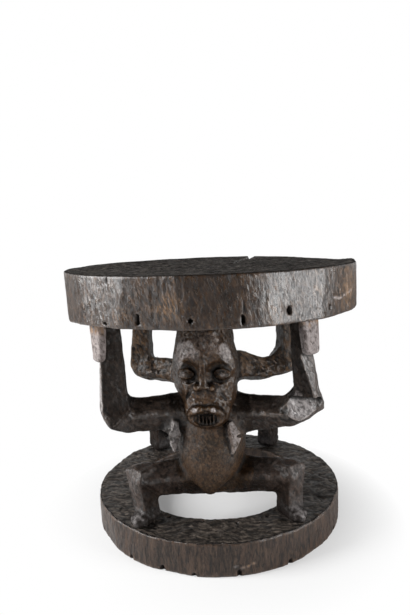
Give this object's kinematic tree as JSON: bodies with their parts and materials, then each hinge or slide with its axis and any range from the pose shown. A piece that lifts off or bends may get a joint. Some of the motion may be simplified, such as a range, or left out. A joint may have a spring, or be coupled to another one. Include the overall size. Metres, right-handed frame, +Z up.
{
  "type": "caryatid stool",
  "caption": "Low carved wooden stool: a thick round seat held up on the raised arms and heads of squatting figures, back to back on a ring base.",
  "frame": {"origin": "on the floor, on the stool's vertical axis, under the middle of the seat", "axes": "+Z up through the seat, -Y the way the front figure faces, +X to the right of someone who looks at that figure"},
  "size_m": [0.421, 0.4192, 0.382],
  "materials": {
    "seat_wood": "dark waxed hardwood, adzed, worn lighter on the rim",
    "base_wood": "dark hardwood, adzed, matt and worn at the edges",
    "head_wood": "dark brown hardwood, carved, satin patina",
    "torso_wood": "brown hardwood, carved, rubbed satin patina",
    "arm_wood": "near-black hardwood, faceted by the knife, satin",
    "hand_wood": "hardwood worn to a grey-brown, matt",
    "leg_wood": "near-black hardwood, carved, satin",
    "foot_wood": "dark hardwood worn grey, matt"
  },
  "bodies": {
    "root": {"back_head": "head_wood", "back_left_foot": "foot_wood", "back_left_forearm": "arm_wood", "back_left_hand": "hand_wood", "back_left_shin": "leg_wood", "back_left_thigh": "leg_wood", "back_left_upper_arm": "arm_wood", "back_right_foot": "foot_wood", "back_right_forearm": "arm_wood", "back_right_hand": "hand_wood", "back_right_shin": "leg_wood", "back_right_thigh": "leg_wood", "back_right_upper_arm": "arm_wood", "back_torso": "torso_wood", "base_ring": "base_wood", "front_head": "head_wood", "front_left_foot": "foot_wood", "front_left_forearm": "arm_wood", "front_left_hand": "hand_wood", "front_left_shin": "leg_wood", "front_left_thigh": "leg_wood", "front_left_upper_arm": "arm_wood", "front_right_foot": "foot_wood", "front_right_forearm": "arm_wood", "front_right_hand": "hand_wood", "front_right_shin": "leg_wood", "front_right_thigh": "leg_wood", "front_right_upper_arm": "arm_wood", "front_torso": "torso_wood", "seat": "seat_wood"}
  },
  "joints": []
}
